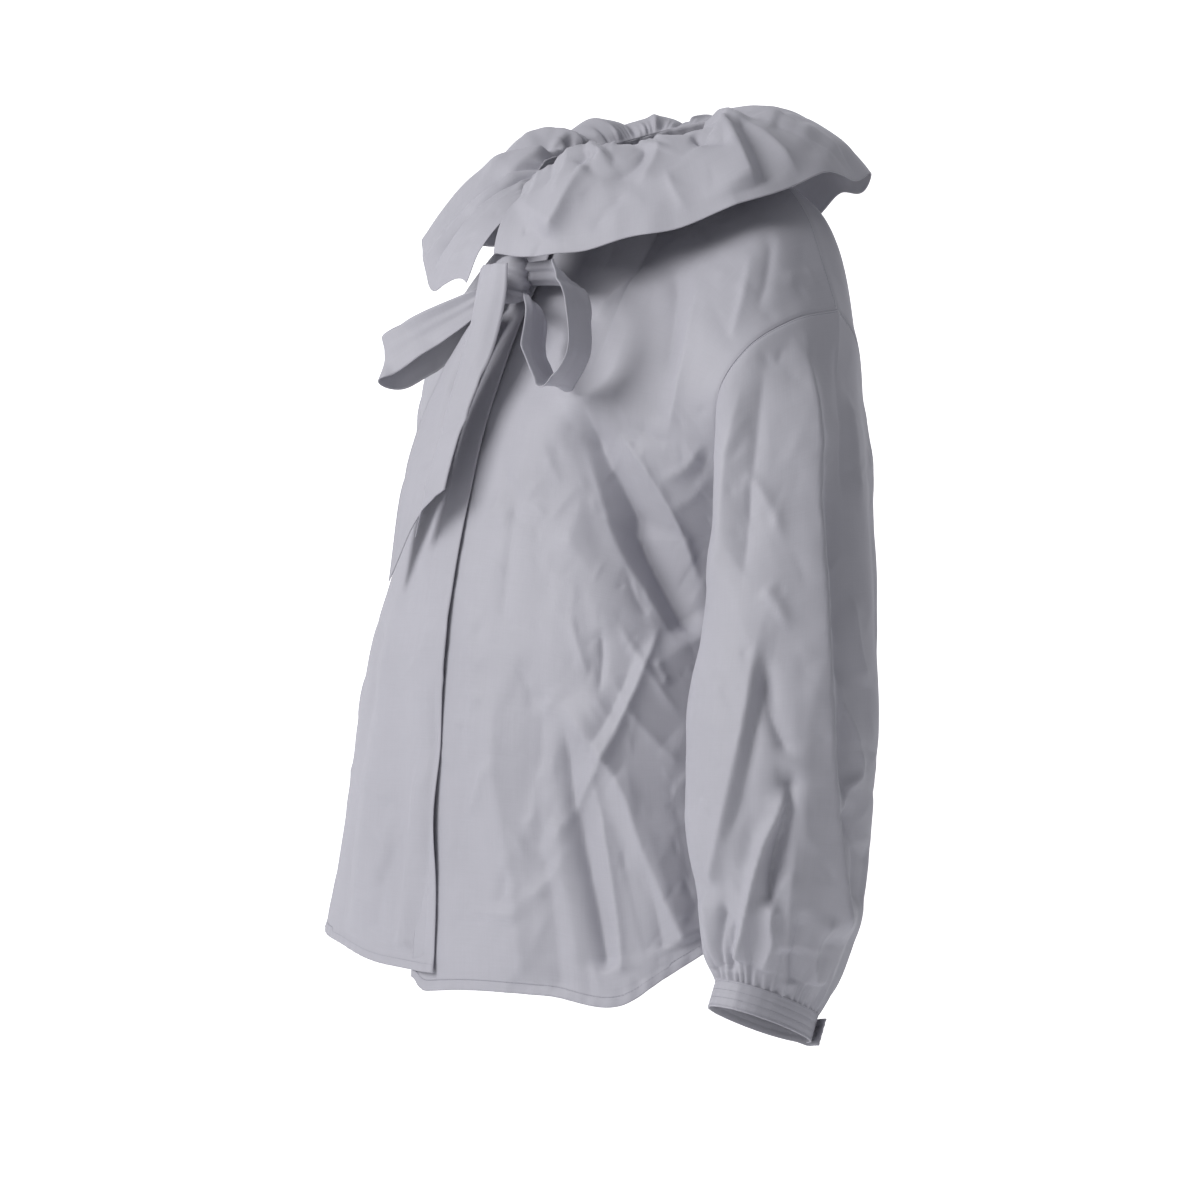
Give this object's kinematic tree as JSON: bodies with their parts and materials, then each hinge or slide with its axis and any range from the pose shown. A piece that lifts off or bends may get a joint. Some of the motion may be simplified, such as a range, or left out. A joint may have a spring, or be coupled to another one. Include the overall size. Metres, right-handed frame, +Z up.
{
  "type": "blouse",
  "caption": "Loose long-sleeved blouse with a wide gathered collar frill, ribbon bow, covered front closing, balloon sleeves and narrow cuffs, hollow as worn.",
  "frame": {"origin": "middle of the neck opening, at the height of the shoulder neck points, where the wearer's neck and shoulders hold the blouse up", "axes": "+Z up, the wearer faces -Y and the wearer's left is +X"},
  "size_m": [0.6728, 0.3888, 0.7185],
  "materials": {
    "cloth": "matte, crisp plain weave with a slight sheen",
    "button": "satin"
  },
  "bodies": {
    "root": {"front_left": "cloth", "front_right": "cloth", "back": "cloth", "sleeve_left": "cloth", "sleeve_right": "cloth", "cuff_left": "cloth", "cuff_right": "cloth", "neck_band": "cloth", "collar_frill": "cloth", "bow_knot": "cloth", "bow_loop_left": "cloth", "bow_loop_right": "cloth", "bow_tail_left": "cloth", "bow_tail_right": "cloth", "cuff_button_left": "button", "cuff_button_right": "button"}
  },
  "joints": []
}
